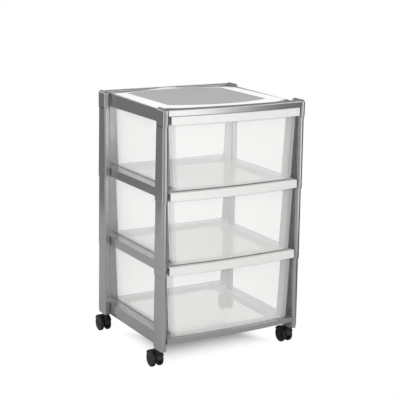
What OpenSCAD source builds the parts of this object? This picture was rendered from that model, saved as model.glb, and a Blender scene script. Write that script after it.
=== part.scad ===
// A three-drawer plastic tower on twin-wheel casters.
// Millimetres. The front faces -Y, up is +Z, the floor is z = 0, and the
// origin is midway between the sides and midway between the fronts' swell and
// the posts' back. The modules work from the middle of the posts instead, and
// centred() moves what they draw back by half the swell.
// Four moulded ring frames are stacked on hollow post segments. Each post
// segment plugs over pegs on the frames below and above it. A drawer slides on
// the side ledges of the frame below it, between the guide flanges of the posts.

/* [Overall] */
// Width over the posts
tower_w = 400; // [360:1:440]
// Depth over the posts, without the swell of the fronts
tower_d = 360; // [320:1:400]
// How far the fronts and the frames' front rails swell past the posts
bow = 10; // [4:0.5:16]
// Height from one frame's top to the next
tier_pitch = 183; // [150:1:220]

/* [Posts] */
// Thickness of a post's plank, from side to side
plank_t = 15; // [14:0.5:20]
// Depth of a post's plank, from front to back
plank_d = 46; // [40:1:56]
// Round on the plank's inner edges, away from its bull nose
plank_edge_r = 3; // [1:0.5:5]
// How far both edges of a plank draw in towards the top of its tier
plank_taper = 3.5; // [0:0.5:5]
// Wall of the hollow plank
plank_wall = 2.4; // [1.6:0.1:3]
// Thickness of the guide flange beside the drawer
flange_t = 3; // [2:0.5:5]
// Distance from the post's outer edge to the far side of its guide flange
flange_set = 41; // [36:0.5:42]
// Gap between the flange's head and the collar beside it
flange_gap = 0.3; // [0.2:0.1:0.6]

/* [Ring frames] */
// Height of a ring frame's outer wall
ring_h = 22; // [16:0.5:28]
// Wall of the frames
ring_wall = 2.4; // [1.6:0.1:3.2]
// Width of the ledge that a drawer slides on, with the frame's side wall
ledge_w = 45; // [38:1:60]
// Width of a frame's front and rear bands
end_band = 34; // [28:1:60]
// Height of the stiffening wall round a frame's opening
inner_wall_h = 11; // [5:0.5:14]
// Corner radius of a frame's opening
opening_r = 14; // [6:1:30]
// Number of stiffening ribs under each ledge
ledge_ribs = 4; // [2:1:7]
// How far the corner collar hangs below the frame that carries it
collar_drop = 5; // [2:0.5:8]
// Length of the pegs that plug into the posts
peg_h = 14; // [8:1:20]
// Clearance between a peg and the wall of its post
peg_gap = 0.15; // [0.1:0.05:0.3]

/* [Top frame] */
// Height of the rims' crest above the top frame's ring
rim_rise = 16.5; // [13:0.5:24]
// Thickness of the front and rear rims
rim_t = 12; // [9:0.5:16]
// How far the deck lies below the front rim's crest
rim_step = 6.5; // [5.5:0.5:9]
// How far the rear rim's crest lies below the front rim's
rear_rim_step = 4; // [0:0.5:4.5]
// Distance from the posts' back to the frames' straight backs
back_set = 2; // [0:0.5:4]
// Round on the corner caps, seen from the side
cap_r = 7; // [3:0.5:10]
// Round along the deck's sides
side_r = 4; // [2:0.5:5]
// Distance from the posts' front or back to the middle of the deck's arched edge
deck_mid = 13; // [12.5:0.5:30]
// Distance from the posts' front or back to the ends of that edge
deck_end = 64; // [50:1:90]
// How far the troughs between the deck and the rims lie below the deck
trough_drop = 3.5; // [1:0.5:5]
// Distance from the tower's side to the inset panel
panel_side = 60; // [48:1:80]
// Distance from the deck's arched front edge to the inset panel
panel_front = 47; // [8:1:80]
// Distance from the inset panel to the deck's arched rear edge
panel_rear = 8; // [7:1:60]
// Thickness of the inset panel
panel_t = 2.2; // [1.6:0.1:3.5]
// How far the panel's face lies below the deck
panel_drop = 0.5; // [0:0.1:2]
// Width of the rebate that the panel rests on
rebate_w = 5; // [3:0.5:9]
// Gap round the panel's edge
panel_gap = 0.4; // [0.2:0.1:1]

/* [Base frame] */
// Height of the base frame
base_h = 31.5; // [28:0.5:40]
// Height of the base frame's front and rear fascias
fascia_h = 12.5; // [8:0.5:20]
// Height of the set-in band round the foot of the base frame
foot_band_h = 7; // [3:0.5:10]
// How far that band is set in
foot_band_set = 0.8; // [0.3:0.1:1.5]

/* [Drawers] */
// Distance from a post's inner face to a drawer's box at its rim
box_room_top = 19; // [15:1:30]
// Distance from a post's inner face to a drawer's box at its floor
box_room_bottom = 27; // [20:1:30]
// Distance from the posts' back to a drawer's back at its rim
box_back_top = 12; // [8:1:60]
// Distance from the posts' back to a drawer's back at its floor
box_back_bottom = 17; // [8:1:70]
// Wall of a drawer
box_wall = 2; // [1.4:0.1:3]
// Corner radius of a drawer's box
box_r = 14; // [6:1:30]
// Width of the bead round a drawer's rim
bead_w = 1.5; // [0.5:0.1:1.6]
// Height of the bead round a drawer's rim
bead_h = 3; // [2:0.5:6]
// Space between a drawer's rim and the frame above it
head_gap = 3; // [1:0.5:8]
// Running gap between a drawer and its ledges
slide_gap = 0.3; // [0.2:0.05:1]
// Running gap between a drawer's wall and the guide flanges
guide_gap = 2; // [1.8:0.1:4]
// Height of the lip across a drawer's front
lip_h = 21; // [14:0.5:24]
// Gap between a lip and the front above it
lip_gap = 2.2; // [1:0.1:4]
// Gap between the end of a lip and the post
lip_end_gap = 4; // [2:0.5:8]
// Thickness of a drawer's front and lip
front_t = 2.5; // [1.8:0.1:3.5]
// How far the front lies behind its lip
lip_proud = 12; // [3:0.5:16]
// How far the front reaches past the box on each side
front_over = 11; // [1:0.5:12]
// Radius of the front's lower corners
front_r = 6; // [3:1:14]
// How far a drawer slides out
drawer_travel = 265; // [200:1:270]
// Length of the stop on a drawer's side
stop_l = 5; // [4:1:10]
// How far that stop reaches out of the drawer's side
stop_out = 5; // [4.5:0.5:6]
// Height of that stop
stop_h = 6; // [4:1:12]

/* [Casters] */
// Height from the floor to the base frame
caster_h = 50; // [48:0.5:56]
// Diameter of a wheel
wheel_d = 40; // [34:1:42]
// Width of a wheel's tread
wheel_w = 8; // [6:0.5:11]
// How far a wheel's outer face is domed
wheel_dome = 1.2; // [0.5:0.1:2.5]
// Thickness of the hood's web between the wheels
web_t = 12; // [11:0.5:15]
// Gap between a wheel and the web
wheel_gap = 0.5; // [0.3:0.1:1]
// Thickness of the fender over the wheels
fender_t = 2; // [1.5:0.1:3]
// Gap between a wheel's tread and the fender
fender_gap = 1.4; // [1:0.1:2.5]
// How far the wheels trail behind the stem
trail = 15; // [12:0.5:18]
// Diameter of the stem
stem_d = 8; // [6:0.5:8]
// Length of the stem inside the base frame
stem_in = 32; // [24:1:34]
// Distance from the posts' front or back to the stem
stem_set = 33; // [30:0.5:35]
// Diameter of the axle
axle_d = 5; // [4:0.5:6]
// Running clearance of the stem and of the wheels, on the radius
run_gap = 0.05; // [0.03:0.01:0.08]
// Clearance of the stem in the base frame, on the radius
socket_gap = 0.1; // [0.05:0.01:0.15]
// Diameter of the stem's shoulder
shoulder_d = 13; // [12:0.5:15]
// Thickness of the stem's shoulder
shoulder_t = 1.5; // [1:0.1:2]
// Gap between the shoulder and the top of the hood
swivel_gap = 0.3; // [0.2:0.1:0.6]

/* [Hidden] */

$fn = 64;
arc_fn = 720; // fine enough for the long shallow arcs
hull_fn = 32; // for the corners of hulls
lap = 0.5; // overlap that joins touching parts of one piece
reach = 40; // how far a cutter runs past what it cuts
slab = 0.01; // thickness of a hull's end slabs

silver = [0.62, 0.63, 0.64];
panel_grey = [0.69, 0.69, 0.69];
milky = [0.95, 0.95, 0.93, 0.55];
black = [0.07, 0.07, 0.08];
steel = [0.75, 0.75, 0.77];

half_w = tower_w / 2;
half_d = tower_d / 2;
front_y = half_d + bow; // furthest reach of the swelling fronts
ring_half = half_w - plank_t; // outer face of the side rails
arc_r = (ring_half * ring_half + bow * bow) / (2 * bow);
arc_y = arc_r - front_y; // centre of the front arc, behind the front

// Height of the top of frame k: 0 is the base frame and 3 is the top frame
function frame_z(k) = caster_h + base_h + k * tier_pitch;

crest_z = frame_z(3) + rim_rise;
border_z = crest_z - rim_step;
ring_front = half_d - front_t - lip_proud - 1; // flat front of the hidden front rails
ring_rear = half_d - back_set; // straight back of every frame
deck_sag = deck_end - deck_mid;
deck_r = (ring_half * ring_half + deck_sag * deck_sag) / (2 * deck_sag);
deck_y = deck_r - half_d + deck_mid; // centre of the deck's arched edges, from the middle
wall_foot = frame_z(3) - ring_h; // lowest edge of the top frame's walls
rebate_z = border_z - panel_drop - panel_t; // underside of the inset panel

stop_play = 0.5; // left between stop and flange when a drawer is fully out

// A drawer's heights, above its own underside
box_h = tier_pitch - ring_h - head_gap - slide_gap;
lip_top = tier_pitch - lip_gap - slide_gap;
lip_base = lip_top - lip_h;
box_draft = (box_room_bottom - box_room_top) / box_h;

// Half the width of a drawer's box at height z above its underside
function box_half(z) = ring_half - box_room_bottom + box_draft * z;

// ---------------------------------------------------------------- helpers

// Moves a shape from the middle of the posts to the origin
module centred() {
  translate([0, bow / 2, 0]) children();
}

// Turns a shape made for the front left corner, with x running in from the
// side and y running in from the front, to the corner on side sx and end sy
module at_corner(sx, sy) {
  translate([sx * half_w, sy * half_d, 0])
    mirror([sx > 0 ? 1 : 0, 0, 0])
      mirror([0, sy > 0 ? 1 : 0, 0])
        children();
}

module at_all_corners() {
  for (sx = [-1, 1], sy = [-1, 1]) at_corner(sx, sy) children();
}

module rounded_square(x0, y0, x1, y1, r) {
  translate([x0 + r, y0]) square([x1 - x0 - 2 * r, y1 - y0]);
  translate([x0, y0 + r]) square([x1 - x0, y1 - y0 - 2 * r]);
  for (x = [x0 + r, x1 - r], y = [y0 + r, y1 - r]) translate([x, y]) circle(r = r);
}

// The plank seen from above: a bull nose in front and small rounds behind
module plank_shape(thick, y0, y1, edge_r) {
  translate([thick / 2, y0 + thick / 2]) circle(r = thick / 2);
  translate([0, y0 + thick / 2]) square([thick, y1 - y0 - thick / 2 - edge_r]);
  translate([edge_r, y1 - 2 * edge_r]) square([thick - 2 * edge_r, 2 * edge_r]);
  for (x = [edge_r, thick - edge_r]) translate([x, y1 - edge_r]) circle(r = edge_r);
}

// The hollow inside a plank, made smaller by gap for the pegs
module hollow_shape(gap) {
  inset = plank_wall + gap;
  translate([inset, 0])
    plank_shape(plank_t - 2 * inset, plank_taper + inset, plank_d - plank_taper - inset,
      plank_edge_r - 0.5);
}

// ------------------------------------------------------------------ posts

// Half of a plank, from y0 to y1, cut from a long prism that leans about the edge
// at y = pivot
module half_plank(h, lean, pivot, y0, y1) {
  intersection() {
    translate([0, pivot, 0])
      rotate([lean, 0, 0])
        translate([0, -pivot, -reach])
          linear_extrude(h + 2 * reach)
            plank_shape(plank_t, 0, plank_d, plank_edge_r);
    translate([-1, y0, 0]) cube([plank_t + 2, y1 - y0, h]);
  }
}

// A plank that is flush with the collar at its foot and draws in at its head
module tapered_plank(h) {
  lean = atan(plank_taper / h);
  half_plank(h, -lean, 0, -1, plank_d / 2);
  half_plank(h, lean, plank_d, plank_d / 2, plank_d + 1);
}

// The guide flange: its inner edge follows the drawer's draft
module guide_flange(h) {
  foot = collar_drop;
  head = h + collar_drop;
  edge_foot = half_w - box_half(0) - guide_gap;
  edge_head = half_w - box_half(head - foot) - guide_gap;
  translate([0, flange_set, 0])
    rotate([90, 0, 0])
      linear_extrude(flange_t)
        polygon([[plank_t - 2 * lap, foot], [edge_foot, foot], [edge_head, head],
          [plank_t + flange_gap, head], [plank_t + flange_gap, h - flange_gap],
          [plank_t - 2 * lap, h - flange_gap]]);
}

// The post segment of tier k (0 is the lowest), at side sx and end sy
module post(sx, sy, k) {
  h = tier_pitch - ring_h;
  color(silver)
    centred()
      at_corner(sx, sy)
        translate([0, 0, frame_z(k) - collar_drop])
          difference() {
            union() {
              tapered_plank(h);
              guide_flange(h);
            }
            translate([0, 0, -1]) linear_extrude(h + 2) hollow_shape(0);
          }
}

// ----------------------------------------------------------------- frames

// A ring frame seen from above, made smaller all round by inset
module ring_shape(inset, swelling_front) {
  intersection() {
    translate([inset - ring_half, -front_y])
      square([2 * (ring_half - inset), front_y + ring_rear - inset]);
    if (swelling_front)
      translate([0, arc_y]) circle(r = arc_r - inset, $fn = arc_fn);
    else
      translate([-half_w, inset - ring_front]) square([tower_w, ring_front + front_y]);
  }
}

// The opening inside a ring frame, made larger all round by grow
module opening_shape(grow) {
  x = ring_half - ledge_w + grow;
  y = half_d - end_band + grow;
  rounded_square(-x, -y, x, y, opening_r + grow);
}

// Ledges, end bands, outer wall, opening wall and ribs; its top is at z = 0
module ring_body(h, swelling_front) {
  translate([0, 0, -ring_wall])
    linear_extrude(ring_wall)
      difference() {
        ring_shape(0, swelling_front);
        opening_shape(0);
      }
  translate([0, 0, -h])
    linear_extrude(h)
      difference() {
        ring_shape(0, swelling_front);
        ring_shape(ring_wall, swelling_front);
      }
  translate([0, 0, -inner_wall_h])
    linear_extrude(inner_wall_h)
      difference() {
        opening_shape(ring_wall);
        opening_shape(0);
      }
  ledge_rib_set();
}

// Ribs that tie the opening's wall to the outer wall, under both ledges
module ledge_rib_set() {
  span = 2 * (half_d - end_band - opening_r);
  for (side = [-1, 1], i = [0 : ledge_ribs - 1])
    translate([side * (ring_half - ledge_w / 2), span * ((i + 0.5) / ledge_ribs - 0.5),
        -inner_wall_h / 2])
      cube([ledge_w - ring_wall, ring_wall, inner_wall_h], center = true);
}

// A peg from z0 to z1
module peg(z0, z1) {
  translate([0, 0, z0]) linear_extrude(z1 - z0) hollow_shape(peg_gap);
}

// The corner collar of a frame whose top is at z = 0, with its pegs
module collar() {
  foot = -ring_h - collar_drop;
  translate([0, 0, foot])
    linear_extrude(ring_h)
      plank_shape(plank_t, 0, plank_d, plank_edge_r);
  translate([plank_t - lap, half_d - ring_front, -ring_h])
    cube([2 * lap, plank_d - half_d + ring_front - plank_edge_r, ring_h - collar_drop]);
  peg(-collar_drop - lap, peg_h - collar_drop);
  peg(foot - peg_h, foot + lap);
}

module shelf_frame(k) {
  color(silver)
    centred()
      translate([0, 0, frame_z(k)]) {
        ring_body(ring_h, false);
        at_all_corners() collar();
      }
}

// -------------------------------------------------------------- top frame

// A rim's outline, with a round crest, drawn in by inset for the hollow inside it
module rim_shape(foot, crest, inset) {
  translate([inset, foot - inset]) square([rim_t - 2 * inset, crest - rim_t / 2 - foot + inset]);
  translate([rim_t / 2, crest - rim_t / 2]) circle(r = rim_t / 2 - inset);
}

// Sweeps a rim's outline along the front arc, between -half and half
module front_sweep(half, inset) {
  half_angle = asin(half / (arc_r - rim_t));
  translate([0, arc_y, 0])
    rotate([0, 0, -90 - half_angle])
      rotate_extrude(angle = 2 * half_angle, $fn = arc_fn)
        translate([arc_r - rim_t, 0]) rim_shape(frame_z(3) - lip_gap / 2, crest_z, inset);
}

// Sweeps a rim's outline straight along the back, between -half and half
module rear_sweep(half, inset) {
  translate([-half, ring_rear - rim_t, 0])
    rotate([90, 0, 90])
      linear_extrude(2 * half) rim_shape(frame_z(3), crest_z - rear_rim_step, inset);
}

// The front rim swells with the fronts, and is the fascia over the top drawer.
// The rear rim is straight and a little lower. Both are hollow from below.
module rims() {
  difference() {
    front_sweep(ring_half + lap, 0);
    front_sweep(ring_half - ring_wall, ring_wall);
  }
  difference() {
    rear_sweep(ring_half + lap, 0);
    rear_sweep(ring_half - ring_wall, ring_wall);
  }
}

// The floor of the troughs, which reaches into both rims
module trough_shape() {
  intersection() {
    translate([-ring_half, -front_y])
      square([2 * ring_half, front_y + ring_rear - rim_t + lap]);
    translate([0, arc_y]) circle(r = arc_r - rim_t + lap, $fn = arc_fn);
  }
}

// Between two arched edges: each is drawn in from the deck's own, and so are the sides
module arched_shape(side, front, rear) {
  intersection() {
    translate([side - ring_half, -half_d]) square([2 * (ring_half - side), tower_d]);
    translate([0, deck_y]) circle(r = deck_r - front, $fn = arc_fn);
    translate([0, -deck_y]) circle(r = deck_r - rear, $fn = arc_fn);
  }
}

// The opening for the inset panel, drawn in all round by inset
module panel_shape(inset) {
  arched_shape(panel_side - plank_t + inset, panel_front + inset, panel_rear + inset);
}

// The deck, its edges, the troughs and the rebate that the panel lies in
module top_deck() {
  trough_z = border_z - trough_drop;
  translate([0, 0, border_z - ring_wall])
    linear_extrude(ring_wall)
      difference() {
        arched_shape(0, 0, 0);
        panel_shape(0);
      }
  translate([0, 0, trough_z - ring_wall])
    linear_extrude(trough_drop + ring_wall - lap)
      difference() {
        arched_shape(0, 0, 0);
        arched_shape(ring_wall, ring_wall, ring_wall);
      }
  translate([0, 0, trough_z - ring_wall])
    linear_extrude(ring_wall)
      difference() {
        trough_shape();
        arched_shape(ring_wall, ring_wall, ring_wall);
      }
  translate([0, 0, rebate_z - ring_wall])
    linear_extrude(border_z - rebate_z + ring_wall - lap)
      difference() {
        panel_shape(-ring_wall);
        panel_shape(0);
      }
  translate([0, 0, rebate_z - ring_wall])
    linear_extrude(ring_wall)
      difference() {
        panel_shape(-ring_wall);
        panel_shape(rebate_w);
      }
}

// The top frame's walls and deck, with the deck's sides rounded over
module top_tray() {
  intersection() {
    union() {
      translate([0, 0, wall_foot])
        linear_extrude(border_z - wall_foot)
          difference() {
            ring_shape(0, false);
            ring_shape(ring_wall, false);
          }
      top_deck();
    }
    rotate([90, 0, 0])
      translate([0, 0, -front_y])
        linear_extrude(2 * front_y)
          rounded_square(-ring_half, wall_foot - reach, ring_half, border_z, side_r);
  }
}

// A corner cap: the plank's section, rounded over at its top
module corner_cap() {
  foot = wall_foot - collar_drop;
  intersection() {
    translate([0, 0, foot])
      linear_extrude(crest_z - foot)
        plank_shape(plank_t, 0, plank_d, plank_edge_r);
    rotate([90, 0, 90])
      translate([0, 0, -1])
        linear_extrude(plank_t + 2)
          rounded_square(0, foot - reach, plank_d, crest_z, cap_r);
  }
  translate([plank_t - lap, plank_t / 2, wall_foot])
    cube([2 * lap, plank_d - plank_t / 2 - plank_edge_r, border_z - side_r - wall_foot]);
  peg(foot - peg_h, foot + lap);
}

module top_frame() {
  color(silver)
    centred() {
      top_tray();
      rims();
      at_all_corners() corner_cap();
    }
}

module top_panel() {
  color(panel_grey)
    centred()
      translate([0, 0, rebate_z]) linear_extrude(panel_t) panel_shape(panel_gap);
}

// ------------------------------------------------------------- base frame

// One corner block, with the socket that takes the caster's stem
module base_block() {
  translate([0, 0, caster_h + foot_band_h])
    linear_extrude(base_h - collar_drop - foot_band_h)
      plank_shape(plank_t, 0, plank_d, plank_edge_r);
  translate([foot_band_set, 0, caster_h])
    linear_extrude(foot_band_h)
      plank_shape(plank_t - foot_band_set, foot_band_set, plank_d - foot_band_set,
        plank_edge_r);
  translate([plank_t - lap, plank_t / 2, caster_h])
    cube([2 * lap, plank_d - plank_t / 2 - plank_edge_r, base_h - collar_drop]);
  peg(caster_h + base_h - collar_drop - lap, caster_h + base_h - collar_drop + peg_h);
}

// The base frame's side walls go down to its foot, and its fascias are short
module base_walls() {
  translate([0, 0, caster_h + base_h - fascia_h])
    linear_extrude(fascia_h)
      difference() {
        ring_shape(0, true);
        ring_shape(ring_wall, true);
      }
  for (side = [-1, 1]) {
    translate([side * (ring_half - ring_wall / 2), 0, caster_h + (base_h + foot_band_h) / 2])
      cube([ring_wall, tower_d - 2 * plank_t, base_h - foot_band_h], center = true);
    translate([side * (ring_half - foot_band_set - ring_wall / 2), 0,
        caster_h + (foot_band_h + lap) / 2])
      cube([ring_wall, tower_d - 2 * plank_t, foot_band_h + lap], center = true);
  }
}

module base_frame() {
  color(silver)
    centred()
      difference() {
        union() {
          translate([0, 0, caster_h + base_h]) ring_body(fascia_h, true);
          base_walls();
          at_all_corners() base_block();
        }
        at_all_corners()
          translate([plank_t / 2, stem_set, caster_h - 1])
            cylinder(r = stem_d / 2 + socket_gap, h = stem_in + 2);
      }
}

// ---------------------------------------------------------------- drawers

// A drawer's box seen from above, made smaller all round by inset
module box_shape(half, back, inset) {
  intersection() {
    rounded_square(inset - half, -front_y - box_r, half - inset, back - inset, box_r);
    translate([0, arc_y]) circle(r = arc_r - lip_proud - inset, $fn = arc_fn);
  }
}

// Round of the box's foot: how high each step is and how far it draws in
foot_steps = [[0, 5], [1.5, 2], [5, 0]];

// The box as a solid, drawn in by inset, from its floor at z0 to z1
module box_solid(inset, z0, z1) {
  hull() {
    for (step = foot_steps) box_slab(z0 + step[0], inset + step[1]);
    box_slab(z1, inset);
  }
}

module box_slab(z, inset) {
  back_bottom = half_d - box_back_bottom;
  back_top = half_d - box_back_top;
  translate([0, 0, z])
    linear_extrude(slab)
      box_shape(box_half(z), back_bottom + (back_top - back_bottom) * z / box_h, inset,
        $fn = hull_fn);
}

// A band along the front arc, from its face back by depth
module arc_band(face, depth, z0, z1) {
  translate([0, arc_y, z0])
    linear_extrude(z1 - z0)
      difference() {
        circle(r = arc_r - face, $fn = arc_fn);
        circle(r = arc_r - face - depth, $fn = arc_fn);
      }
}

// The outline of the front under the lip, in x and z
module front_outline() {
  half_foot = box_half(0) + front_over;
  half_head = box_half(lip_base) + front_over;
  x_round = half_foot + (half_head - half_foot) * front_r / lip_base;
  polygon([[-half_head, lip_base + front_t], [half_head, lip_base + front_t],
    [x_round, front_r], [x_round - front_r, 0], [front_r - x_round, 0], [-x_round, front_r]]);
  for (side = [-1, 1]) translate([side * (x_round - front_r), front_r]) circle(r = front_r);
}

// Keeps what lies in front of the drawer's middle and inside a front outline
module front_cut() {
  rotate([90, 0, 0]) linear_extrude(front_y + 1) children();
}

// The lip is a channel: its face, a flange along its top and one along its foot
module lip() {
  lip_half = ring_half - lip_end_gap;
  intersection() {
    union() {
      arc_band(0, front_t, lip_base, lip_top);
      arc_band(0, lip_proud + front_t, lip_base, lip_base + front_t);
      arc_band(0, lip_proud + front_t, lip_top - front_t, lip_top);
    }
    front_cut() rounded_square(-lip_half, lip_base, lip_half, lip_top, 2);
  }
}

// Stops that meet the front posts' flanges when the drawer is fully out
module stops() {
  y0 = drawer_travel + flange_set - half_d + stop_play;
  root = box_half(box_h) - box_wall;
  for (side = [-1, 1])
    translate([side * (root + (box_wall + stop_out) / 2), y0 + stop_l / 2, box_h - stop_h / 2])
      cube([box_wall + stop_out, stop_l, stop_h], center = true);
}

module drawer(k) {
  color(milky)
    centred()
      translate([0, 0, frame_z(k) + slide_gap]) {
        difference() {
          union() {
            box_solid(0, 0, box_h - slab);
            translate([0, 0, box_h - bead_h])
              linear_extrude(bead_h)
                box_shape(box_half(box_h) + bead_w, half_d - box_back_top + bead_w, 0);
            stops();
          }
          box_solid(box_wall, box_wall, box_h + 1);
        }
        intersection() {
          arc_band(lip_proud, front_t, 0, lip_base + front_t);
          front_cut() front_outline();
        }
        lip();
      }
}

// ---------------------------------------------------------------- casters
// A caster is made round its stem's axis, with the wheels trailing to the rear

// Places a caster under the corner at side sx and end sy
module at_stem(sx, sy) {
  centred() translate([sx * (half_w - plank_t / 2), sy * (half_d - stem_set), 0]) children();
}

hood_top = caster_h - shoulder_t - swivel_gap;
stem_foot = wheel_d / 2 + axle_d / 2 + 4; // the stem ends above the axle
stem_seat = 0.3; // gap under the stem's end
hood_floor = 3; // thickness of the boss under the stem
groove_z = caster_h + stem_in - 8;
groove_h = 2.5;
groove_deep = 0.6;
tip_h = 1; // chamfer of the stem's tip
ring_play = 0.03; // gap inside and outside the grip ring
ring_split = 1.5;
hub_share = 0.7; // the web's disc round the axle, as a share of the wheel
fender_z = 0.75 * wheel_d; // lowest edge of the fender

// The steel pin: plain in the hood, a shoulder, then a grooved end for the socket
module stem(sx, sy) {
  r = stem_d / 2;
  color(steel)
    at_stem(sx, sy)
      rotate_extrude()
        polygon([[0, stem_foot], [r, stem_foot], [r, caster_h - shoulder_t],
          [shoulder_d / 2, caster_h - shoulder_t], [shoulder_d / 2, caster_h], [r, caster_h],
          [r, groove_z], [r - groove_deep, groove_z], [r - groove_deep, groove_z + groove_h],
          [r, groove_z + groove_h], [r, caster_h + stem_in - tip_h],
          [r - tip_h, caster_h + stem_in], [0, caster_h + stem_in]]);
}

// Split rings that sit in the stems' grooves and grip the sockets
module grip_rings() {
  ring_len = groove_h - 0.4;
  color(steel)
    for (sx = [-1, 1], sy = [-1, 1])
      at_stem(sx, sy)
        translate([0, 0, groove_z + (groove_h - ring_len) / 2])
          difference() {
            cylinder(r = stem_d / 2 + socket_gap - ring_play, h = ring_len);
            translate([0, 0, -1])
              cylinder(r = stem_d / 2 - groove_deep + ring_play, h = ring_len + 2);
            translate([-ring_split / 2, 0, -1]) cube([ring_split, stem_d, ring_len + 2]);
          }
}

// A solid disc or bar along x at the axle, as wide as w
module along_axle(r, w) {
  translate([0, trail, wheel_d / 2])
    rotate([0, 90, 0])
      cylinder(r = r, h = w, center = true);
}

// The part of a disc round the axle that lies above height z
module disc_above(r, w, z) {
  intersection() {
    along_axle(r, w);
    translate([-w, trail - wheel_d, z]) cube([2 * w, 2 * wheel_d, wheel_d]);
  }
}

// The hood: a web between the wheels, a fender over them and a boss for the stem
module hood(sx, sy) {
  fender_r = wheel_d / 2 + fender_gap + fender_t;
  hood_w = web_t + 2 * (wheel_gap + wheel_w);
  color(black)
    at_stem(sx, sy)
      difference() {
        union() {
          along_axle(hub_share * wheel_d / 2, web_t);
          disc_above(fender_r, web_t, wheel_d / 2);
          difference() {
            disc_above(fender_r, hood_w, fender_z);
            along_axle(fender_r - fender_t, hood_w + 2);
          }
          translate([0, 0, stem_foot - hood_floor])
            cylinder(r = web_t / 2, h = hood_top - stem_foot + hood_floor);
        }
        translate([0, 0, stem_foot - stem_seat])
          cylinder(r = stem_d / 2 + run_gap, h = hood_top - stem_foot + 2);
        along_axle(axle_d / 2, hood_w + 2);
      }
}

module axle(sx, sy) {
  axle_l = web_t + 2 * (wheel_gap + wheel_w);
  color(steel) at_stem(sx, sy) along_axle(axle_d / 2, axle_l);
}

// A wheel, with its inner face at axial 0; out is -1 or 1 along x. Its inner
// face is hollow round the hub, its tread has round shoulders, and its outer
// face has a raised rim, a shallow dish and a domed cap
module wheel(sx, sy, out) {
  r = wheel_d / 2;
  bore_r = axle_d / 2 + run_gap;
  hub_r = 0.35 * r;
  hollow_r = 0.82 * r;
  hollow = 1.2;
  rim_r = 0.72 * r;
  cap_edge_r = 0.3 * r;
  color(black)
    at_stem(sx, sy)
      translate([out * (web_t / 2 + wheel_gap), trail, r])
        rotate([0, out * 90, 0])
          rotate_extrude()
            polygon([[bore_r, 0], [hub_r, 0], [hub_r, hollow], [hollow_r, hollow],
              [hollow_r, 0], [r - 1.6, 0], [r - 0.4, 0.7], [r, 1.8], [r, wheel_w - 2],
              [r - 0.5, wheel_w - 0.8], [r - 1.8, wheel_w], [rim_r, wheel_w + 0.3],
              [rim_r - 0.4, wheel_w - 0.3], [cap_edge_r + 0.4, wheel_w - 0.1],
              [cap_edge_r, wheel_w + wheel_dome], [bore_r, wheel_w + wheel_dome]]);
}

top_frame();
top_panel();
shelf_frame(2);  // shelf_frame_upper
shelf_frame(1);  // shelf_frame_lower
base_frame();
post(-1, -1, 2);  // post_front_left_top
post(1, -1, 2);  // post_front_right_top
post(-1, 1, 2);  // post_rear_left_top
post(1, 1, 2);  // post_rear_right_top
post(-1, -1, 1);  // post_front_left_middle
post(1, -1, 1);  // post_front_right_middle
post(-1, 1, 1);  // post_rear_left_middle
post(1, 1, 1);  // post_rear_right_middle
post(-1, -1, 0);  // post_front_left_bottom
post(1, -1, 0);  // post_front_right_bottom
post(-1, 1, 0);  // post_rear_left_bottom
post(1, 1, 0);  // post_rear_right_bottom
drawer(2);  // drawer_top
drawer(1);  // drawer_middle
drawer(0);  // drawer_bottom
stem(-1, -1);  // stem_front_left
hood(-1, -1);  // hood_front_left
axle(-1, -1);  // axle_front_left
wheel(-1, -1, -1);  // wheel_outer_front_left
wheel(-1, -1, 1);  // wheel_inner_front_left
stem(1, -1);  // stem_front_right
hood(1, -1);  // hood_front_right
axle(1, -1);  // axle_front_right
wheel(1, -1, 1);  // wheel_outer_front_right
wheel(1, -1, -1);  // wheel_inner_front_right
stem(-1, 1);  // stem_rear_left
hood(-1, 1);  // hood_rear_left
axle(-1, 1);  // axle_rear_left
wheel(-1, 1, -1);  // wheel_outer_rear_left
wheel(-1, 1, 1);  // wheel_inner_rear_left
stem(1, 1);  // stem_rear_right
hood(1, 1);  // hood_rear_right
axle(1, 1);  // axle_rear_right
wheel(1, 1, 1);  // wheel_outer_rear_right
wheel(1, 1, -1);  // wheel_inner_rear_right
grip_rings();
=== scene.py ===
import math

import bmesh
import bpy
from mathutils import Matrix, Vector


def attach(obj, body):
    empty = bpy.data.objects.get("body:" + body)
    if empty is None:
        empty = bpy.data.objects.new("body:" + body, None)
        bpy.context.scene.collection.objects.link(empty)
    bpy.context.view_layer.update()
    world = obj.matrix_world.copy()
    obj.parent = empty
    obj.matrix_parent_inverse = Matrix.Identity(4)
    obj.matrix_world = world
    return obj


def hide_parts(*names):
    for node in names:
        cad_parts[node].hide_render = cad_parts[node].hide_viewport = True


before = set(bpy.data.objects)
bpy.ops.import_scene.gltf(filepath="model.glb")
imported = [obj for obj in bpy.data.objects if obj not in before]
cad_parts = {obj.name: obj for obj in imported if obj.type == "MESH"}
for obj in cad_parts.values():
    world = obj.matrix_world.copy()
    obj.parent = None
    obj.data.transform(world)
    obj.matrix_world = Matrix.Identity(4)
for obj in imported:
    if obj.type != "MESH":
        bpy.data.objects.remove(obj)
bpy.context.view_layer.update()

mm = 0.001
scene = bpy.context.scene
scene.view_settings.view_transform = "Standard"

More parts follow.
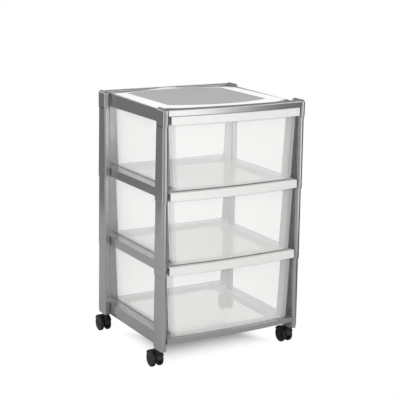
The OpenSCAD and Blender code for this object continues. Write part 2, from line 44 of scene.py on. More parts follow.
# ---------------------------------------------------------------- the camera
# A long lens from the front left, a little above the tower's top. The picture
# is square, and the lens stands for 1138 pixels of focal length in 400.
azimuth = math.radians(-30.59)
elevation = math.radians(13.38)
roll = math.radians(1.15)
back = Vector((math.sin(azimuth) * math.cos(elevation),
               -math.cos(azimuth) * math.cos(elevation), math.sin(elevation)))
right = Vector((math.cos(azimuth), math.sin(azimuth), 0))
up = back.cross(right)
right, up = (right * math.cos(roll) + up * math.sin(roll),
             up * math.cos(roll) - right * math.sin(roll))
camera = bpy.data.objects.new("camera", bpy.data.cameras.new("camera"))
scene.collection.objects.link(camera)
stand = (-1.4494, -2.4565, 1.0525)
turn = Matrix((right, up, back)).transposed().to_4x4()
camera.matrix_world = Matrix.Translation(stand) @ turn
camera.data.lens = 102.42
camera.data.sensor_width = 36
camera.data.clip_end = 60
scene.camera = camera

# ------------------------------------------------------------------- wheels
# Each caster has two small wheels, moulded in black nylon: a plain tread with
# round shoulders, and a dished outer face with a domed cap over the axle.
corners = {"front_left": (-1, -1), "front_right": (1, -1),
           "rear_left": (-1, 1), "rear_right": (1, 1)}
stem_x = 192.5 * mm
stem_y = {-1: -142 * mm, 1: 152 * mm}
axle_behind = 15 * mm  # the wheels trail behind the stem
wheel_r = 20 * mm
wheel_inside = 6.5 * mm  # from the middle of the hood to a wheel's inner face
noise_span = (0.3, 0.7)  # most of a noise's values lie between these


def new_finish(name, colour, roughness, metallic=0.0, specular=0.5, alpha=1.0):
    """A material whose shader has its own plain numbers, ready for its pattern."""
    m = bpy.data.materials.new(name)
    m.use_nodes = True
    shader = m.node_tree.nodes["Principled BSDF"]
    shader.inputs["Base Color"].default_value = (*colour, 1)
    shader.inputs["Roughness"].default_value = roughness
    shader.inputs["Metallic"].default_value = metallic
    shader.inputs["Specular IOR Level"].default_value = specular
    shader.inputs["Alpha"].default_value = alpha
    return m


def mottle(m, scale, low, high, socket, detail=3):
    """Varies a colour or a number over the surface, from low to high."""
    n, l = m.node_tree.nodes, m.node_tree.links
    where = n.new("ShaderNodeTexCoord")
    noise = n.new("ShaderNodeTexNoise")
    noise.inputs["Scale"].default_value = scale
    noise.inputs["Detail"].default_value = detail
    l.new(where.outputs["Object"], noise.inputs["Vector"])
    if isinstance(low, tuple):
        ramp = n.new("ShaderNodeValToRGB")
        ramp.color_ramp.elements[0].position = noise_span[0]
        ramp.color_ramp.elements[0].color = (*low, 1)
        ramp.color_ramp.elements[1].position = noise_span[1]
        ramp.color_ramp.elements[1].color = (*high, 1)
        l.new(noise.outputs["Fac"], ramp.inputs["Fac"])
        out = ramp.outputs["Color"]
    else:
        ramp = n.new("ShaderNodeMapRange")
        ramp.inputs["From Min"].default_value = noise_span[0]
        ramp.inputs["From Max"].default_value = noise_span[1]
        ramp.inputs["To Min"].default_value = low
        ramp.inputs["To Max"].default_value = high
        l.new(noise.outputs["Fac"], ramp.inputs["Value"])
        out = ramp.outputs["Result"]
    l.new(out, n["Principled BSDF"].inputs[socket])


def grain(m, scale, strength, distance):
    """A fine moulded texture in the surface."""
    n, l = m.node_tree.nodes, m.node_tree.links
    where = n.new("ShaderNodeTexCoord")
    noise = n.new("ShaderNodeTexNoise")
    noise.inputs["Scale"].default_value = scale
    noise.inputs["Detail"].default_value = 2
    bump = n.new("ShaderNodeBump")
    bump.inputs["Strength"].default_value = strength
    bump.inputs["Distance"].default_value = distance
    l.new(where.outputs["Object"], noise.inputs["Vector"])
    l.new(noise.outputs["Fac"], bump.inputs["Height"])
    l.new(bump.outputs["Normal"], n["Principled BSDF"].inputs["Normal"])


def add_piece(name, bm, body, slot, m, *nodes, sharp=30):
    """Makes the finished mesh a piece that rides on its body and stands for its nodes."""
    for face in bm.faces:
        face.smooth = True
    for edge in bm.edges:
        edge.smooth = edge.is_manifold and edge.calc_face_angle(0) < math.radians(sharp)
    piece = bpy.data.objects.new(name, bpy.data.meshes.new(name))
    scene.collection.objects.link(piece)
    bm.to_mesh(piece.data)
    bm.free()
    piece.data.materials.append(m)
    normals = piece.modifiers.new("normals", "WEIGHTED_NORMAL")
    normals.keep_sharp = True
    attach(piece, body)
    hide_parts(*nodes)
    return piece


def turned(bm, outline, centre, axis, steps=48):
    """Turns a closed outline of a few corners right round an axis."""
    verts = [bm.verts.new(p) for p in outline]
    rim = [bm.edges.new((a, b)) for a, b in zip(verts, verts[1:] + verts[:1])]
    bmesh.ops.spin(bm, geom=verts + rim, cent=centre, axis=axis, angle=math.tau,
                   steps=steps, use_merge=True)
    bmesh.ops.remove_doubles(bm, verts=bm.verts, dist=1e-7)
    bmesh.ops.recalc_face_normals(bm, faces=bm.faces)


nylon = new_finish("black_nylon", (0.008, 0.008, 0.009), 0.36, specular=0.35)
mottle(nylon, 300, 0.32, 0.42, "Roughness")
mottle(nylon, 700, (0.006, 0.006, 0.007), (0.011, 0.011, 0.012), "Base Color")

# The outline of half a section: how far out along the axle, and the radius
wheel_outline = [(0, 2.6), (0, 7), (1.2, 7.2), (1.2, 16.2), (0, 16.4), (0, 18.2),
                 (0.25, 19.1), (0.9, 19.75), (1.8, 20), (6, 20), (7, 19.7), (7.6, 19.1),
                 (8, 18.1), (8.25, 16.4), (8.3, 14.6), (8.05, 14.1), (7.75, 13.9), (7.8, 7.2),
                 (7.95, 6.6), (8.5, 6.2), (8.95, 5), (9.15, 3.6), (9.2, 2.6)]
for corner, (side, end) in corners.items():
    for place, out in (("outer", side), ("inner", -side)):
        bm = bmesh.new()
        face_x = side * stem_x + out * wheel_inside
        y = stem_y[end] + axle_behind
        turned(bm, [(face_x + out * a * mm, y, wheel_r + r * mm) for a, r in wheel_outline],
               (0, y, wheel_r), (1, 0, 0), steps=56)
        add_piece(f"{place}_wheel_moulding_{corner}", bm, f"{place}_wheel_{corner}",
                  "black_plastic", nylon, f"wheel_{place}_{corner}", sharp=40)

# -------------------------------------------------------------- caster hoods
# A hood is one black moulding: a web between the wheels, a curved fender over
# them and an upright boss. The steel stem turns in the boss, and the steel
# axle is pressed through the web.
hood_w = 29 * mm
web_w, web_r = 12 * mm, 14 * mm
fender_r = 23.4 * mm
fender_t = 2 * mm
fender_end = 30 * mm  # height of the fender's ends
round_start, round_middle = 1.2 * mm, 0.4 * mm  # the fender's rounded sides
# The outline of half the boss: the radius, and the height above the floor
boss_outline = [(0.01, 23.5), (6, 23.5), (6, 47.6), (5.4, 48.2), (4.4, 48.2),
                (4.05, 47.9), (4.05, 26.2), (0.01, 26.2)]


def ease(bm, edges, size, segments=2):
    """Rounds moulded edges."""
    bmesh.ops.bevel(bm, geom=edges, offset=size, offset_type="OFFSET", segments=segments,
                    profile=0.5, affect="EDGES", material=-1, clamp_overlap=True)


def corners_of(bm, over=50):
    """The edges that turn by more than so many degrees."""
    return [e for e in bm.edges
            if e.is_manifold and e.calc_face_angle(0) > math.radians(over)]


def disc(bm, radius, width, centre, low=None):
    """A disc round an axis along x, cut off under the height low."""
    part = bmesh.new()
    bmesh.ops.create_cone(part, cap_ends=True, segments=64, radius1=radius, radius2=radius,
                          depth=width)
    bmesh.ops.rotate(part, verts=part.verts, cent=(0, 0, 0),
                     matrix=Matrix.Rotation(math.pi / 2, 3, "Y"))
    bmesh.ops.translate(part, verts=part.verts, vec=centre)
    if low is not None:
        cut = bmesh.ops.bisect_plane(part, geom=part.verts[:] + part.edges[:] + part.faces[:],
                                     dist=1e-7, plane_co=(0, 0, low), plane_no=(0, 0, -1),
                                     clear_outer=True)
        bmesh.ops.contextual_create(part, geom=[g for g in cut["geom_cut"]
                                                if isinstance(g, bmesh.types.BMEdge)])
    ease(part, corners_of(part), 0.8 * mm)
    join(bm, part)


def join(bm, part):
    """Adds one bmesh to another, and lets it go."""
    mesh = bpy.data.meshes.new("part")
    part.to_mesh(mesh)
    bm.from_mesh(mesh)
    bpy.data.meshes.remove(mesh)
    part.free()


for corner, (side, end) in corners.items():
    x, y = side * stem_x, stem_y[end]
    axle = Vector((x, y + axle_behind, wheel_r))
    bm = bmesh.new()
    disc(bm, web_r, web_w, axle)
    disc(bm, fender_r, web_w, axle, low=wheel_r)
    # the fender: its section is swept over the wheels
    fender = bmesh.new()
    start = math.asin((fender_end - wheel_r) / (fender_r - fender_t / 2))
    section = [(-hood_w / 2, fender_r - fender_t), (hood_w / 2, fender_r - fender_t),
               (hood_w / 2, fender_r - round_start),
               (hood_w / 2 - round_middle, fender_r - round_middle),
               (hood_w / 2 - round_start, fender_r), (round_start - hood_w / 2, fender_r),
               (round_middle - hood_w / 2, fender_r - round_middle),
               (-hood_w / 2, fender_r - round_start)]
    verts = [fender.verts.new((x + a, axle.y + r * math.cos(start),
                               axle.z + r * math.sin(start))) for a, r in section]
    face = fender.faces.new(verts)
    bmesh.ops.spin(fender, geom=verts + list(face.edges) + [face], cent=axle, axis=(1, 0, 0),
                   angle=math.pi - 2 * start, steps=28)
    bmesh.ops.recalc_face_normals(fender, faces=fender.faces)
    join(bm, fender)
    # the boss, bored for the stem
    boss = bmesh.new()
    turned(boss, [(x + r * mm, y, z * mm) for r, z in boss_outline], (x, y, 0), (0, 0, 1),
           steps=40)
    join(bm, boss)
    add_piece(f"hood_moulding_{corner}", bm, f"caster_{corner}", "black_plastic", nylon,
              f"hood_{corner}")

# ------------------------------------------------- stems, axles, grip rings
# The stems and axles are turned from bright zinc-plated steel, and split
# steel rings grip the stems' grooves. They're plain turned shapes, so the CAD
# solids stay, with a drawn finish.
zinc = new_finish("bright_zinc", (0.56, 0.56, 0.57), 0.3, metallic=1.0)
mottle(zinc, 700, (0.48, 0.48, 0.50), (0.62, 0.62, 0.62), "Base Color")
for name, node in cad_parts.items():
    if name.startswith(("stem_", "axle_")) or name == "grip_rings":
        node.data.materials.clear()
        node.data.materials.append(zinc)

# ---------------------------------------------------- base and shelf frames
# Each frame is one injection moulding in silver polypropylene with metal
# flake: rails, inner ledges, ribs, corner collars and the pegs that plug into
# the posts. The collars' edges are rounded by a millimetre.
silver = new_finish("silver_polypropylene", (0.42, 0.42, 0.425), 0.21, metallic=0.85)
mottle(silver, 900, (0.39, 0.39, 0.392), (0.45, 0.45, 0.455), "Base Color", detail=2)
mottle(silver, 7, 0.19, 0.23, "Roughness")
hair = 0.01 * mm  # nearer than this counts as the same place
tiers = {"bottom": 81.5 * mm, "middle": 264.5 * mm, "top": 447.5 * mm}  # the drawers' feet
collar_x = 184.9 * mm  # the collars lie outside this
collar_head, collar_foot = 5 * mm, 27 * mm  # how far below its frame's top
collar_round = 1 * mm


def eased_copy(node, size, wanted):
    """A copy of a moulded solid, merged, with the wanted outer edges rounded."""
    bm = bmesh.new()
    bm.from_mesh(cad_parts[node].data)
    bmesh.ops.remove_doubles(bm, verts=bm.verts, dist=2e-6)
    bmesh.ops.dissolve_limit(bm, angle_limit=math.radians(0.3), use_dissolve_boundaries=False,
                             verts=bm.verts, edges=bm.edges)
    outer = [e for e in bm.edges
             if e.is_manifold and e.calc_face_angle_signed(0) > math.radians(55)
             and wanted(*((a + b) / 2 for a, b in zip(e.verts[0].co, e.verts[1].co)))]
    bmesh.ops.bevel(bm, geom=outer, offset=size, offset_type="OFFSET", segments=2,
                    profile=0.5, affect="EDGES", material=-1, clamp_overlap=False)
    return bm


for name, top in zip(("base_frame", "shelf_frame_lower", "shelf_frame_upper"), tiers.values()):
    levels = (top, top - collar_head, top - collar_foot)
    bm = eased_copy(name, collar_round, lambda x, y, z: abs(x) > collar_x and min(
        abs(z - level) for level in levels) < hair)
    add_piece(f"{name}_moulding", bm, "frame", "silver_plastic", silver, name)

# -------------------------------------------------------------------- posts
# A post segment is a hollow plank in the same silver plastic, with a bull
# nose towards the open side, and a thin flange beside the drawer. It draws in
# a little towards its top, and plugs over the pegs of two frames.
post_x = 200 * mm
post_y = {-1: -175 * mm, 1: 185 * mm}
plank_t, plank_d, plank_taper = 15 * mm, 46 * mm, 3.5 * mm
nose = plank_t / 2 - hair
post_h = 161 * mm
box_foot, box_rim, box_h = 158 * mm, 166 * mm, 157.7 * mm  # half widths, and height
guide_gap = 2 * mm
flange_front, flange_t = 38 * mm, 3 * mm
flange_foot, flange_head = 5 * mm, 166 * mm
flange_root = 14 * mm
step_x, step_z = 15.3 * mm, 160.7 * mm  # the flange's head steps back to clear the frame


def box_half(z):
    """Half the width of a drawer's box at a height above its foot."""
    return box_foot + (box_rim - box_foot) * z / box_h


def block(size, centre):
    """A block of that size round that centre."""
    bm = bmesh.new()
    bmesh.ops.create_cube(bm, size=1)
    bmesh.ops.scale(bm, verts=bm.verts, vec=size)
    bmesh.ops.translate(bm, verts=bm.verts, vec=centre)
    return bm


def upright_edges(bm, tall, open_side):
    """The upright edges of a plank on its open side, or on its other side."""
    return [e for e in bm.edges if abs(e.verts[0].co.z - e.verts[1].co.z) > tall / 2
            and (e.verts[0].co.y < hair if open_side else e.verts[0].co.y > plank_d - hair)]


def post_segment(side, end, foot):
    """One hollow plank's outside, drawn in towards its top, with its flange."""
    bm = block((plank_t, plank_d, post_h), (plank_t / 2, plank_d / 2, post_h / 2))
    ease(bm, upright_edges(bm, post_h, True), nose, 10)
    ease(bm, upright_edges(bm, post_h, False), 3 * mm, 4)
    ends = [e for e in bm.edges if abs(e.verts[0].co.z - e.verts[1].co.z) < hair]
    ease(bm, ends, 0.6 * mm)
    for v in bm.verts:
        drawn = plank_taper * v.co.z / post_h
        v.co.y += drawn * (1 - 2 * v.co.y / plank_d)
    flange = bmesh.new()
    edge_foot = post_x - box_foot - guide_gap
    edge_head = post_x - box_half(post_h) - guide_gap
    outline = [(flange_root, flange_foot), (edge_foot, flange_foot), (edge_head, flange_head),
               (step_x, flange_head), (step_x, step_z), (flange_root, step_z)]
    face = flange.faces.new([flange.verts.new((a, flange_front, b)) for a, b in outline])
    made = bmesh.ops.extrude_face_region(flange, geom=[face])
    bmesh.ops.translate(flange, vec=(0, flange_t, 0),
                        verts=[g for g in made["geom"] if isinstance(g, bmesh.types.BMVert)])
    bmesh.ops.recalc_face_normals(flange, faces=flange.faces)
    tip = [e for e in flange.edges if min(v.co.x for v in e.verts) > 25 * mm]
    ease(flange, tip, 0.8 * mm)
    join(bm, flange)
    if side > 0:
        bmesh.ops.scale(bm, verts=bm.verts, vec=(-1, 1, 1))
    if end > 0:
        bmesh.ops.scale(bm, verts=bm.verts, vec=(1, -1, 1))
    bmesh.ops.translate(bm, verts=bm.verts, vec=(side * post_x, post_y[end], foot))
    bmesh.ops.recalc_face_normals(bm, faces=bm.faces)
    return bm


for corner, (side, end) in corners.items():
    for tier, top in tiers.items():
        add_piece(f"post_moulding_{corner}_{tier}", post_segment(side, end, top - collar_head),
                  "frame", "silver_plastic", silver, f"post_{corner}_{tier}", sharp=35)

# ------------------------------------------------------------------ drawers
# A drawer is one thin moulding in milky, see-through polypropylene: a drafted
# tub with a bead round its rim, a front that swells on a long arc, a
# channel-shaped lip that is the finger pull, and two small stops.
front_reach = -185 * mm
arc_r = 1716.25 * mm
lip_foot, lip_head, lip_half = 159.5 * mm, 180.5 * mm, 181 * mm
face_behind = 12 * mm  # how far the front lies behind its lip
face_over = 11 * mm  # how far the front reaches out past the tub
wall = 2 * mm
front_t = 2.5 * mm
tub_front, tub_rear, rear_draft = -150 * mm, 168 * mm, 5 * mm
rear_round = 14 * mm
bead_out, bead_up = 1.5 * mm, 3 * mm
slide_play = 0.3 * mm  # between a drawer's foot and the ledges
stop_size = (5 * mm, 5 * mm, 6 * mm)
# a stop comes to lie just behind the post's flange when the drawer is out
travel, stop_play = 265 * mm, 0.5 * mm
stop_y = post_y[-1] + flange_front + flange_t + travel + stop_play + stop_size[1] / 2

# how much each part hides, and how pale it is: the lip is the thickest
milky = {}
for part, cover, pale in (("wall", 0.2, 0.97), ("floor", 0.5, 0.97), ("lip", 0.72, 0.87)):
    tint = [pale * c for c in (1, 0.995, 0.98)]
    milky[part] = new_finish(f"milky_polypropylene_{part}", tint, 0.2, alpha=cover)
    mottle(milky[part], 9, tuple(c - 0.02 for c in tint), tuple(c + 0.02 for c in tint),
           "Base Color")


def arc_back(x, behind):
    """Where the swelling front lies at x, that far behind its furthest face."""
    return front_reach + arc_r - math.sqrt((arc_r - behind) ** 2 - x * x)


def slice_across(bm, half, count):
    """Cuts a sheet into strips, so that it can follow the arc."""
    for i in range(1, count):
        bmesh.ops.bisect_plane(bm, geom=bm.verts[:] + bm.edges[:] + bm.faces[:], dist=1e-7,
                               plane_co=(half * (2 * i / count - 1), 0, 0), plane_no=(1, 0, 0))


def drawer_tub():
    """The tub: drafted walls and a floor, open in front, with a bead round its rim."""
    bm = bmesh.new()
    bmesh.ops.create_cube(bm, size=1)
    rim_z = box_h - bead_up
    for v in bm.verts:
        high, rear = v.co.z > 0, v.co.y > 0
        z = rim_z if high else 0
        v.co = Vector((math.copysign(box_half(z), v.co.x),
                       tub_rear + rear_draft * z / box_h if rear else tub_front, z))
    open_faces = [f for f in bm.faces if f.normal.z > 0.9 or f.normal.y < -0.9]
    bmesh.ops.delete(bm, geom=open_faces, context="FACES_ONLY")
    rear = [e for e in bm.edges if all(v.co.y > 0.1 for v in e.verts)
            and abs(e.verts[0].co.z - e.verts[1].co.z) > 0.1]
    ease(bm, rear, rear_round, 8)
    foot = [e for e in bm.edges
            if all(v.co.z < 1e-6 for v in e.verts) and len(e.link_faces) == 2]
    ease(bm, foot, 5 * mm, 4)
    # the floor and the sides run forward to the back of the swelling front
    front = [v for v in bm.verts if v.co.y < tub_front + mm]
    floor_edge = [e for e in bm.edges if all(v in front for v in e.verts)
                  and abs(e.verts[0].co.x - e.verts[1].co.x) > 0.2]
    bmesh.ops.subdivide_edges(bm, edges=floor_edge, cuts=31)
    for v in bm.verts:
        if v.co.y < tub_front + mm:
            v.co.y = arc_back(v.co.x, face_behind + front_t)
    # the bead: the rim steps out, less round the rear corners, and then up
    rim = [e for e in bm.edges if all(v.co.z > rim_z - 1e-6 for v in e.verts)]
    for rise in (0, bead_up):
        made = bmesh.ops.extrude_edge_only(bm, edges=rim)
        rim = [g for g in made["geom"] if isinstance(g, bmesh.types.BMEdge)]
        for v in {v for e in rim for v in e.verts}:
            if rise:
                v.co.z += rise
            else:
                v.co.x += math.copysign(bead_out, v.co.x) * min(1, abs(v.co.x) / (150 * mm))
                v.co.y += bead_out * max(0, min(1, (v.co.y - 159 * mm) / rear_round))
    bmesh.ops.recalc_face_normals(bm, faces=bm.faces)
    if sum(f.calc_area() * f.normal.z for f in bm.faces) > 0:
        bmesh.ops.reverse_faces(bm, faces=bm.faces)
    bmesh.ops.solidify(bm, geom=bm.faces[:], thickness=wall)
    for face in bm.faces:
        low = face.calc_center_median().z < 3 * mm
        face.material_index = int(low and abs(face.normal.z) > 0.9)
    return bm


def drawer_front():
    """The face: a sheet with round lower corners, bent to the arc and thickened."""
    bm = bmesh.new()
    head = lip_foot + front_t
    bm.faces.new([bm.verts.new((s * (box_half(z) + face_over), 0, z))
                  for s, z in ((-1, 0), (1, 0), (1, head), (-1, head))])
    low = [v for v in bm.verts if v.co.z < 1e-6]
    bmesh.ops.bevel(bm, geom=low, offset=6 * mm, offset_type="OFFSET", segments=5,
                    profile=0.5, affect="VERTICES", material=-1, clamp_overlap=True)
    slice_across(bm, 176 * mm, 40)
    for v in bm.verts:
        v.co.y = arc_back(v.co.x, face_behind)
    bm.normal_update()
    if sum(f.normal.y for f in bm.faces) > 0:
        bmesh.ops.reverse_faces(bm, faces=bm.faces)
    bmesh.ops.solidify(bm, geom=bm.faces[:], thickness=front_t)
    ease(bm, corners_of(bm), 0.5 * mm)
    return bm


def drawer_lip():
    """The lip: a channel's outline turned along the arc, rounded and thickened."""
    bm = bmesh.new()
    deep = face_behind + front_t
    half_turn = math.asin(lip_half / arc_r)
    outline = [(deep, lip_foot), (0, lip_foot), (0, lip_head), (deep, lip_head)]
    verts = [bm.verts.new((0, front_reach + y, z)) for y, z in outline]
    edges = [bm.edges.new(pair) for pair in zip(verts, verts[1:])]
    bmesh.ops.rotate(bm, verts=verts, cent=(0, front_reach + arc_r, 0),
                     matrix=Matrix.Rotation(-half_turn, 3, "Z"))
    bmesh.ops.spin(bm, geom=verts + edges, cent=(0, front_reach + arc_r, 0), axis=(0, 0, 1),
                   angle=2 * half_turn, steps=40)
    bmesh.ops.recalc_face_normals(bm, faces=bm.faces)
    if sum(f.calc_area() * f.normal.y for f in bm.faces) > 0:
        bmesh.ops.reverse_faces(bm, faces=bm.faces)
    ease(bm, corners_of(bm), 1.6 * mm, 3)
    bmesh.ops.solidify(bm, geom=bm.faces[:], thickness=front_t)
    ease(bm, [e for e in corners_of(bm) if abs(e.verts[0].co.x) > 150 * mm
              and abs(e.verts[1].co.x) > 150 * mm], 0.5 * mm)
    for face in bm.faces:
        face.material_index = 2
    return bm


for tier, top in tiers.items():
    bm = drawer_tub()
    join(bm, drawer_front())
    join(bm, drawer_lip())
    for side in (-1, 1):
        stop = block(stop_size, (side * (box_rim + stop_size[0] / 2), stop_y,
                                 box_h - stop_size[2] / 2))
        ease(stop, corners_of(stop), 0.5 * mm)
        join(bm, stop)
    bmesh.ops.translate(bm, verts=bm.verts, vec=(0, 0, top + slide_play))
    drawer = add_piece(f"drawer_moulding_{tier}", bm, f"{tier}_drawer", "clear_plastic",
                       milky["wall"], f"drawer_{tier}", sharp=35)
    drawer.data.materials.append(milky["floor"])
    drawer.data.materials.append(milky["lip"])

# ---------------------------------------------------------------- top frame
# The top is one silver moulding: a level deck with arched edges, troughs
# towards the front and rear rims, and four corner caps that plug into the
# posts. The front rim swells with the drawers' fronts.
cap_foot, crest = 603.5 * mm, 647 * mm
cap_wide = plank_t + 0.1 * mm
cap_round = 7.4 * mm
cap_x = 185 * mm  # the caps lie outside this
into_cap = 4 * mm
rear_rim_front = 170.95 * mm
rim_foot, rim_rise = 637.05 * mm, 3.9 * mm
deck_low, deck_high = 630 * mm, 641 * mm


def corner_cap(side, end):
    """A cap: the plank's section, with a bull nose and a domed top."""
    tall = crest - cap_foot
    bm = block((cap_wide, plank_d, tall), (cap_wide / 2, plank_d / 2, tall / 2))
    for open_side in (True, False):
        ease(bm, upright_edges(bm, tall, open_side), nose, 10)
    for level, size, steps in ((tall, cap_round, 6), (0, 1.2 * mm, 3)):
        rim = [e for e in bm.edges if e.is_manifold and e.calc_face_angle(0) > 1
               and all(abs(v.co.z - level) < hair for v in e.verts)]
        bmesh.ops.bevel(bm, geom=rim, offset=size, offset_type="OFFSET", segments=steps,
                        profile=0.5, affect="EDGES", material=-1, clamp_overlap=False)
    bmesh.ops.scale(bm, verts=bm.verts, vec=(-side, -end, 1))
    bmesh.ops.translate(bm, verts=bm.verts, vec=(side * post_x, post_y[end], cap_foot))
    bmesh.ops.recalc_face_normals(bm, faces=bm.faces)
    return bm


bm = eased_copy("top_frame", 0.7 * mm,
                lambda x, y, z: abs(x) < cap_x - mm and z < cap_foot)
# the solid's own caps are cut off a little outside the walls' faces
cut_x = cap_x + 2 * hair
for side in (-1, 1):
    outside = [f for f in bm.faces if max(side * v.co.x for v in f.verts) > cut_x
               and min(v.co.z for v in f.verts) > cap_foot - hair]
    bmesh.ops.bisect_plane(bm, geom=outside + list({e for f in outside for e in f.edges})
                           + list({v for f in outside for v in f.verts}), dist=1e-7,
                           plane_co=(side * cut_x, 0, 0), plane_no=(side, 0, 0))
bm.normal_update()
old_caps = []
for face in bm.faces:
    middle = face.calc_center_median()
    if min(abs(v.co.x) for v in face.verts) > cap_x - hair and middle.z > cap_foot - hair:
        faces_in = face.normal.x * math.copysign(1, middle.x) < 0.1
        if abs(middle.x) > cut_x + 0.1 * hair or faces_in:
            old_caps.append(face)
bmesh.ops.delete(bm, geom=old_caps, context="FACES")
# the rims and walls run on into the new caps
made = bmesh.ops.extrude_edge_only(bm, edges=[e for e in bm.edges if e.is_boundary])
for v in [g for g in made["geom"] if isinstance(g, bmesh.types.BMVert)]:
    v.co.x += math.copysign(into_cap, v.co.x)
bmesh.ops.holes_fill(bm, edges=[e for e in bm.edges if e.is_boundary], sides=0)
bmesh.ops.recalc_face_normals(bm, faces=bm.faces)
# the rear rim stands nearly as high as the front one
for v in bm.verts:
    if v.co.y > rear_rim_front and v.co.z > rim_foot:
        v.co.z += rim_rise
# the deck's and the troughs' upward faces get a pale, non-metallic colour: a painted highlight
# for the overhead light that the silver deck reflects
bm.normal_update()
for face in bm.faces:
    if face.normal.z > 0.5 and deck_low < face.calc_center_median().z < deck_high:
        face.material_index = 1
for side, end in corners.values():
    join(bm, corner_cap(side, end))
# painted highlight: near white on the deck's upward faces, standing for the overhead light the
# silver reflects, so they look lit from every side
painted_sheen_deck = new_finish("painted_sheen_deck", (0.9, 0.9, 0.9), 0.35)
mottle(painted_sheen_deck, 500, (0.88, 0.88, 0.88), (0.92, 0.92, 0.92), "Base Color")
top_frame = add_piece("top_frame_moulding", bm, "frame", "silver_plastic", silver, "top_frame")
top_frame.data.materials.append(painted_sheen_deck)

# -------------------------------------------------------------- inset panel
# A loose sheet in grey plastic with a fine matt grain, which drops into the
# deck's rebate. Its front and rear edges run along the deck's own arcs.
panel_foot, panel_t, panel_half = 637.8 * mm, 2.2 * mm, 139.6 * mm
front_arc = (199 * mm, 313.6 * mm)  # where the arc's centre lies, and its radius
rear_arc = (-189 * mm, 352.6 * mm)
grained = new_finish("grained_grey", (0.40, 0.40, 0.395), 0.6, specular=0.15)
mottle(grained, 700, (0.37, 0.37, 0.365), (0.43, 0.43, 0.425), "Base Color")
grain(grained, 1400, 0.12, 0.0002)
bm = bmesh.new()
bmesh.ops.create_grid(bm, x_segments=48, y_segments=1, size=1)
for v in bm.verts:
    x = v.co.x * panel_half
    (middle, radius), way = (rear_arc, 1) if v.co.y > 0 else (front_arc, -1)
    v.co = Vector((x, middle + way * math.sqrt(radius ** 2 - x * x), panel_foot))
made = bmesh.ops.extrude_face_region(bm, geom=bm.faces[:])
bmesh.ops.translate(bm, vec=(0, 0, panel_t),
                    verts=[g for g in made["geom"] if isinstance(g, bmesh.types.BMVert)])
bmesh.ops.recalc_face_normals(bm, faces=bm.faces)
ease(bm, corners_of(bm), 0.4 * mm)
add_piece("inset_panel", bm, "frame", "panel_plastic", grained, "top_panel")

# --------------------------------------------------------------- the studio
# A white floor and sky, with soft lamps in front, at the left and overhead.
# The floor keeps the tower's shadow and fades to white round it, and what
# shines in the silver is a ring of bright and dark screens far away.
floor = bpy.data.objects.new("floor", bpy.data.meshes.new("floor"))
scene.collection.objects.link(floor)
bm = bmesh.new()
bmesh.ops.create_circle(bm, cap_ends=True, segments=96, radius=1.6)
bm.to_mesh(floor.data)
bm.free()
m = new_finish("floor", (0.5, 0.5, 0.5), 0.9, specular=0)
n, l = m.node_tree.nodes, m.node_tree.links
shader = n["Principled BSDF"]


def seen_plainly(tree):
    """1 for what the picture shows itself, also through the milky walls."""
    ray = tree.nodes.new("ShaderNodeLightPath")
    plain = tree.nodes.new("ShaderNodeMath")
    plain.operation = "MAXIMUM"
    tree.links.new(ray.outputs["Is Camera Ray"], plain.inputs[0])
    tree.links.new(ray.outputs["Is Transmission Ray"], plain.inputs[1])
    return plain.outputs["Value"]


# how far a point lies outside the tower's footprint, in metres, with less
# weight from front to back: the shadow fades away before the footprint's edges
where = n.new("ShaderNodeTexCoord")
away = n.new("ShaderNodeVectorMath")
away.operation = "ABSOLUTE"
outside = n.new("ShaderNodeVectorMath")
outside.operation = "SUBTRACT"
outside.inputs[1].default_value = (0.2, 0.185, 0)
weighed = n.new("ShaderNodeVectorMath")
weighed.operation = "MULTIPLY"
weighed.inputs[1].default_value = (1, 0.6, 1)
sides = n.new("ShaderNodeSeparateXYZ")
furthest = n.new("ShaderNodeMath")
furthest.operation = "MAXIMUM"
fade = n.new("ShaderNodeMapRange")
fade.interpolation_type = "SMOOTHSTEP"
fade.inputs["From Min"].default_value = -0.12
fade.inputs["From Max"].default_value = -0.03
glow = n.new("ShaderNodeEmission")
white = n.new("ShaderNodeMixShader")
seen = n.new("ShaderNodeMixShader")
# to the right the floor's colour is painted darker: painted shade, standing for the black
# screens there, which the silver reflects
right_side = n.new("ShaderNodeSeparateXYZ")
painted_shade_ramp = n.new("ShaderNodeMapRange")
for socket, value in (("From Min", 0.25), ("From Max", 0.6),
                      ("To Min", 0.5), ("To Max", 0.06)):
    painted_shade_ramp.inputs[socket].default_value = value
l.new(where.outputs["Object"], right_side.inputs["Vector"])
l.new(right_side.outputs["X"], painted_shade_ramp.inputs["Value"])
l.new(painted_shade_ramp.outputs["Result"], shader.inputs["Base Color"])
l.new(where.outputs["Object"], away.inputs[0])
l.new(away.outputs["Vector"], outside.inputs[0])
l.new(outside.outputs["Vector"], weighed.inputs[0])
l.new(weighed.outputs["Vector"], sides.inputs["Vector"])
l.new(sides.outputs["X"], furthest.inputs[0])
l.new(sides.outputs["Y"], furthest.inputs[1])
l.new(furthest.outputs["Value"], fade.inputs["Value"])
l.new(fade.outputs["Result"], white.inputs["Fac"])
l.new(shader.outputs["BSDF"], white.inputs[1])
l.new(glow.outputs["Emission"], white.inputs[2])
l.new(seen_plainly(m.node_tree), seen.inputs["Fac"])
l.new(shader.outputs["BSDF"], seen.inputs[1])
l.new(white.outputs["Shader"], seen.inputs[2])
l.new(seen.outputs["Shader"], n["Material Output"].inputs["Surface"])
floor.data.materials.append(m)

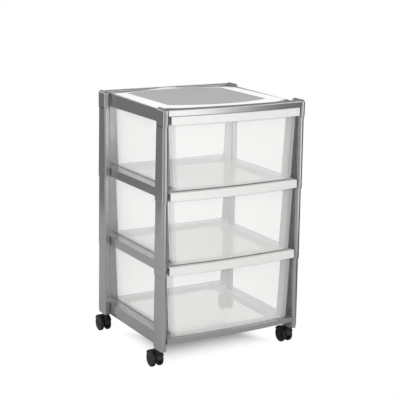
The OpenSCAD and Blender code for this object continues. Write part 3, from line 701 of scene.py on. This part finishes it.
world = bpy.data.worlds.new("studio")
world.use_nodes = True
scene.world = world
n, l = world.node_tree.nodes, world.node_tree.links
ambient = n["Background"]
ambient.inputs["Color"].default_value = (1, 1, 1, 1)
way = n.new("ShaderNodeTexCoord")
parts = n.new("ShaderNodeSeparateXYZ")
behind = n.new("ShaderNodeMath")
behind.operation = "MULTIPLY"
behind.inputs[1].default_value = -1
angle = n.new("ShaderNodeMath")
angle.operation = "ARCTAN2"
turn_share = n.new("ShaderNodeMapRange")
turn_share.inputs["From Min"].default_value = -math.pi
turn_share.inputs["From Max"].default_value = math.pi
screens = n.new("ShaderNodeValToRGB")
raised = n.new("ShaderNodeMapRange")
raised.inputs["From Min"].default_value = 0.02
raised.inputs["From Max"].default_value = 0.12
ceiling = n.new("ShaderNodeValToRGB")
upper = n.new("ShaderNodeValToRGB")
doubled = n.new("ShaderNodeVectorMath")
doubled.operation = "SCALE"
doubled.inputs["Scale"].default_value = 2
above = n.new("ShaderNodeVectorMath")
above.operation = "MULTIPLY"
shine = n.new("ShaderNodeMix")
shine.data_type = "RGBA"
shown = n.new("ShaderNodeBackground")
shown.inputs["Strength"].default_value = 3
backdrop = n.new("ShaderNodeBackground")
backdrop.inputs["Color"].default_value = (1, 1, 1, 1)
# level with the tower: degrees to the right of straight in front, and a third
# of the brightness
stops = [(-180, 0.08), (-140, 0.06), (-130, 0.1), (-119, 0.6), (-105, 0.6), (-94, 0.12),
         (-80, 0.1), (-37, 0.2), (4, 0.3), (14, 0.85), (24, 0.8), (31, 0.34), (38, 0.12),
         (45, 0.04), (120, 0.03), (180, 0.08)]
# further up: the direction's height, and a third of the brightness of a bright
# band under a dark ceiling
bands = [(0, 0.36), (0.32, 0.36), (0.45, 0.08), (1, 0.08)]
# degrees again, and how many times brighter the band is there, which is halved
# for the ramp and doubled after it
bright_side = [(-180, 1), (-100, 1), (-10, 1.7), (60, 1.7), (110, 1), (180, 1)]
for ramp, levels in ((screens.color_ramp, [((d + 180) / 360, g) for d, g in stops]),
                     (upper.color_ramp, [((d + 180) / 360, g / 2) for d, g in bright_side]),
                     (ceiling.color_ramp, bands)):
    while len(ramp.elements) < len(levels):
        ramp.elements.new(0.5)
    for element, (position, grey) in zip(ramp.elements, levels):
        element.position = position
        element.color = (grey, grey, grey, 1)
ray = n.new("ShaderNodeLightPath")
glossy = n.new("ShaderNodeMixShader")
both = n.new("ShaderNodeMixShader")
l.new(way.outputs["Generated"], parts.inputs["Vector"])
l.new(parts.outputs["Y"], behind.inputs[0])
l.new(parts.outputs["X"], angle.inputs[0])
l.new(behind.outputs["Value"], angle.inputs[1])
l.new(angle.outputs["Value"], turn_share.inputs["Value"])
l.new(turn_share.outputs["Result"], screens.inputs["Fac"])
l.new(parts.outputs["Z"], raised.inputs["Value"])
l.new(parts.outputs["Z"], ceiling.inputs["Fac"])
l.new(raised.outputs["Result"], shine.inputs["Factor"])
l.new(screens.outputs["Color"], shine.inputs["A"])
l.new(turn_share.outputs["Result"], upper.inputs["Fac"])
l.new(upper.outputs["Color"], doubled.inputs["Vector"])
l.new(ceiling.outputs["Color"], above.inputs[0])
l.new(doubled.outputs["Vector"], above.inputs[1])
l.new(above.outputs["Vector"], shine.inputs["B"])
l.new(shine.outputs["Result"], shown.inputs["Color"])
l.new(ray.outputs["Is Glossy Ray"], glossy.inputs["Fac"])
l.new(ambient.outputs["Background"], glossy.inputs[1])
l.new(shown.outputs["Background"], glossy.inputs[2])
l.new(seen_plainly(world.node_tree), both.inputs["Fac"])
l.new(glossy.outputs["Shader"], both.inputs[1])
l.new(backdrop.outputs["Background"], both.inputs[2])
l.new(both.outputs["Shader"], n["World Output"].inputs["Surface"])

lit_point = Vector((0, 0, 0.33))  # the middle of the tower
for name, place, size, power in (("front_lamp", (0.3, -2.6, 1.1), (1.6, 1.8), 22),
                                 ("left_lamp", (-2.6, 0.2, 1.0), (1.6, 1.8), 22),
                                 ("top_lamp", (0, 0.2, 2.6), (2.4, 2.4), 2)):
    lamp = bpy.data.objects.new(name, bpy.data.lights.new(name, "AREA"))
    scene.collection.objects.link(lamp)
    lamp.data.shape = "RECTANGLE"
    lamp.data.size, lamp.data.size_y = size
    lamp.data.energy = power
    lamp.visible_glossy = False
    lamp.visible_camera = False
    aim = (Vector(place) - lit_point).to_track_quat("Z", "Y").to_matrix().to_4x4()
    lamp.matrix_world = Matrix.Translation(place) @ aim
